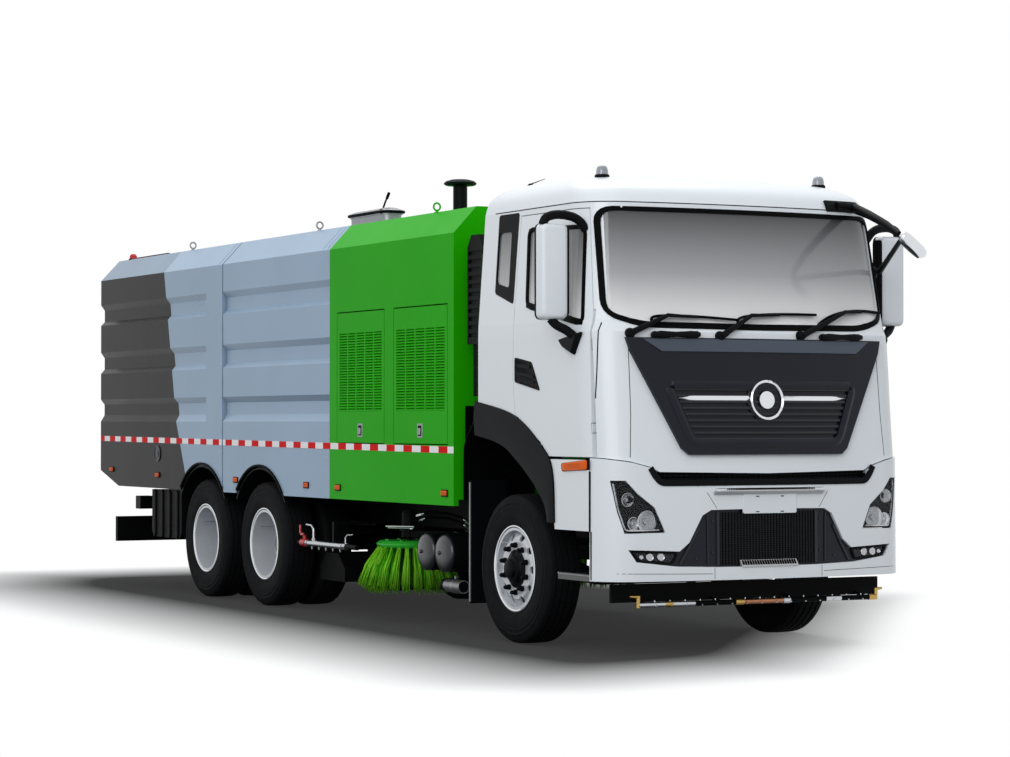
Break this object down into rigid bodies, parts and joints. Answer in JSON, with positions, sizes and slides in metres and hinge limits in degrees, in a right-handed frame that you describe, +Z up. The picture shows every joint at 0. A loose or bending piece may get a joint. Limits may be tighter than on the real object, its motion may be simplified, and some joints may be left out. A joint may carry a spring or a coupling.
{
  "type": "street sweeper truck",
  "caption": "Tilt-cab street sweeper truck with washing gear, side brushes, suction nozzle, water tank and a tipping waste bin.",
  "frame": {"origin": "on the ground under the middle of the truck, bumper mirror to tail", "axes": "+X to the truck's left, +Y to its rear, +Z up"},
  "size_m": [3, 10.4149, 3.462],
  "materials": {
    "white_paint": "smooth enamel",
    "silver_paint": "smooth metallic enamel",
    "green_paint": "smooth enamel",
    "frame_paint": "matt chassis paint",
    "bright_steel": "ground and plated",
    "wheel_steel": "silver wheel lacquer",
    "tyre": "moulded rubber",
    "black_plastic": "grained",
    "tank_paint": "satin",
    "fitting_paint": "enamel",
    "glass": "clear",
    "headlamp": "clear lens over bright reflector",
    "amber_lens": "moulded lens",
    "seat_cloth": "woven",
    "bristle": "bunched bristle"
  },
  "bodies": {
    "chassis": {"chassis_frame": "frame_paint", "front_axle": "frame_paint", "rear_axles": "frame_paint", "springs": "frame_paint", "driveline": "frame_paint", "cab_body": "white_paint", "cab_glass": "glass", "cab_roof": "white_paint", "hood": "white_paint", "grille_panel": "black_plastic", "bumper": "white_paint", "headlamps": "headlamp", "entry_steps": "white_paint", "mudguards": "black_plastic", "cab_interior": "seat_cloth", "engine_housing": "green_paint", "water_tank": "silver_paint", "roof_fittings": "fitting_paint", "air_intake": "black_plastic", "side_tanks": "tank_paint", "underrun": "frame_paint", "marker_lamps": "amber_lens", "suction_nozzle": "black_plastic", "spray_bars": "black_plastic", "front_trim": "black_plastic"},
    "knuckle_left": {"knuckle_left": "frame_paint"},
    "wheel_front_left": {"rim_front_left": "wheel_steel", "tyre_front_left": "tyre"},
    "knuckle_right": {"knuckle_right": "frame_paint"},
    "wheel_front_right": {"rim_front_right": "wheel_steel", "tyre_front_right": "tyre"},
    "tie_rod": {"tie_rod": "frame_paint"},
    "wheels_2_left": {"rims_2_left": "wheel_steel", "tyres_2_left": "tyre"},
    "wheels_2_right": {"rims_2_right": "wheel_steel", "tyres_2_right": "tyre"},
    "wheels_3_left": {"rims_3_left": "wheel_steel", "tyres_3_left": "tyre"},
    "wheels_3_right": {"rims_3_right": "wheel_steel", "tyres_3_right": "tyre"},
    "door_left": {"door_left": "white_paint", "door_glass_left": "glass", "mirror_left": "black_plastic"},
    "door_right": {"door_right": "white_paint", "door_glass_right": "glass", "mirror_right": "black_plastic"},
    "engine_door_1_left": {"engine_door_1_left": "green_paint"},
    "engine_door_1_right": {"engine_door_1_right": "green_paint"},
    "engine_door_2_left": {"engine_door_2_left": "green_paint"},
    "engine_door_2_right": {"engine_door_2_right": "green_paint"},
    "bin": {"waste_bin": "silver_paint"},
    "rear_door": {"rear_door": "silver_paint"},
    "hatch_lid": {"hatch_lid": "fitting_paint"},
    "tip_barrels": {"tip_barrels": "frame_paint"},
    "tip_sleeves": {"tip_sleeves": "bright_steel"},
    "tip_rods": {"tip_rods": "bright_steel"},
    "brush_arm_left": {"brush_arm_left": "frame_paint"},
    "brush_left": {"brush_left": "bristle"},
    "brush_arm_right": {"brush_arm_right": "frame_paint"},
    "brush_right": {"brush_right": "bristle"}
  },
  "joints": [
    {"name": "steer_left", "type": "hinge", "parent": "chassis", "child": "knuckle_left", "pos_m": [0.85, -3.3125, 0.53], "axis": [0, 0, 1], "range_deg": [-35, 35]},
    {"name": "wheel_front_left_spin", "type": "hinge", "parent": "knuckle_left", "child": "wheel_front_left", "pos_m": [1.045, -3.3125, 0.53], "axis": [1, 0, 0], "continuous": true},
    {"name": "steer_right", "type": "hinge", "parent": "chassis", "child": "knuckle_right", "pos_m": [-0.85, -3.3125, 0.53], "axis": [0, 0, 1], "range_deg": [-35, 35]},
    {"name": "wheel_front_right_spin", "type": "hinge", "parent": "knuckle_right", "child": "wheel_front_right", "pos_m": [-1.045, -3.3125, 0.53], "axis": [1, 0, 0], "continuous": true},
    {"name": "tie_rod_pivot", "type": "hinge", "parent": "knuckle_left", "child": "tie_rod", "pos_m": [0.85, -3.1025, 0.458], "axis": [0, 0, 1], "range_deg": [-35, 35]},
    {"name": "wheels_2_left_spin", "type": "hinge", "parent": "chassis", "child": "wheels_2_left", "pos_m": [0.9105, 1.1675, 0.53], "axis": [1, 0, 0], "continuous": true},
    {"name": "wheels_2_right_spin", "type": "hinge", "parent": "chassis", "child": "wheels_2_right", "pos_m": [-0.9105, 1.1675, 0.53], "axis": [1, 0, 0], "continuous": true},
    {"name": "wheels_3_left_spin", "type": "hinge", "parent": "chassis", "child": "wheels_3_left", "pos_m": [0.9105, 2.5075, 0.53], "axis": [1, 0, 0], "continuous": true},
    {"name": "wheels_3_right_spin", "type": "hinge", "parent": "chassis", "child": "wheels_3_right", "pos_m": [-0.9105, 2.5075, 0.53], "axis": [1, 0, 0], "continuous": true},
    {"name": "door_left_hinge", "type": "hinge", "parent": "chassis", "child": "door_left", "pos_m": [1.212, -4.4925, 1.53], "axis": [0.0391, -0.0889, -0.9953], "range_deg": [0, 70]},
    {"name": "door_right_hinge", "type": "hinge", "parent": "chassis", "child": "door_right", "pos_m": [-1.212, -4.4925, 1.53], "axis": [0.0391, 0.0889, 0.9953], "range_deg": [0, 70]},
    {"name": "engine_door_1_left_hinge", "type": "hinge", "parent": "chassis", "child": "engine_door_1_left", "pos_m": [1.241, -1.9465, 2.429], "axis": [0, -1, 0], "range_deg": [0, 80]},
    {"name": "engine_door_1_right_hinge", "type": "hinge", "parent": "chassis", "child": "engine_door_1_right", "pos_m": [-1.241, -1.9465, 2.429], "axis": [0, 1, 0], "range_deg": [0, 80]},
    {"name": "engine_door_2_left_hinge", "type": "hinge", "parent": "chassis", "child": "engine_door_2_left", "pos_m": [1.241, -0.877, 2.429], "axis": [0, -1, 0], "range_deg": [0, 80]},
    {"name": "engine_door_2_right_hinge", "type": "hinge", "parent": "chassis", "child": "engine_door_2_right", "pos_m": [-1.241, -0.877, 2.429], "axis": [0, 1, 0], "range_deg": [0, 80]},
    {"name": "bin_tip", "type": "hinge", "parent": "chassis", "child": "bin", "pos_m": [0, 4.6875, 1.065], "axis": [-1, 0, 0], "range_deg": [0, 45]},
    {"name": "rear_door_hinge", "type": "hinge", "parent": "bin", "child": "rear_door", "pos_m": [0, 5.1955, 3.084], "axis": [1, 0, 0], "range_deg": [0, 80]},
    {"name": "hatch_lid_hinge", "type": "hinge", "parent": "chassis", "child": "hatch_lid", "pos_m": [-0.483, 0.2115, 3.306], "axis": [0, 1, 0], "range_deg": [0, 100]},
    {"name": "tip_barrel_pivot", "type": "hinge", "parent": "chassis", "child": "tip_barrels", "pos_m": [0, 3.58898, 0.46855], "axis": [-1, 0, 0], "range_deg": [0, 23]},
    {"name": "tip_sleeves_slide", "type": "slide", "parent": "tip_barrels", "child": "tip_sleeves", "axis": [0, -0.225, 0.9744], "range_m": [0, 0.4467]},
    {"name": "tip_rods_slide", "type": "slide", "parent": "tip_barrels", "child": "tip_rods", "axis": [0, -0.225, 0.9744], "range_m": [0, 0.8895]},
    {"name": "brush_arm_left_swing", "type": "hinge", "parent": "chassis", "child": "brush_arm_left", "pos_m": [0.56, -1.5325, 0.686], "axis": [0, 0, -1], "range_deg": [0, 35]},
    {"name": "brush_left_spin", "type": "hinge", "parent": "brush_arm_left", "child": "brush_left", "pos_m": [0.84, -0.9225, 0.6], "axis": [0, 0, 1], "continuous": true},
    {"name": "brush_arm_right_swing", "type": "hinge", "parent": "chassis", "child": "brush_arm_right", "pos_m": [-0.56, -1.5325, 0.686], "axis": [0, 0, 1], "range_deg": [0, 35]},
    {"name": "brush_right_spin", "type": "hinge", "parent": "brush_arm_right", "child": "brush_right", "pos_m": [-0.84, -0.9225, 0.6], "axis": [0, 0, 1], "continuous": true}
  ],
  "couplings": [
    {"joint": "steer_right", "follows": "steer_left", "ratio": 1},
    {"joint": "tie_rod_pivot", "follows": "steer_left", "ratio": -1},
    {"joint": "tip_barrel_pivot", "follows": "bin_tip", "ratio": 0.5},
    {"joint": "tip_sleeves_slide", "follows": "bin_tip", "m_per_rad": 0.5637},
    {"joint": "tip_rods_slide", "follows": "bin_tip", "m_per_rad": 1.1274}
  ]
}
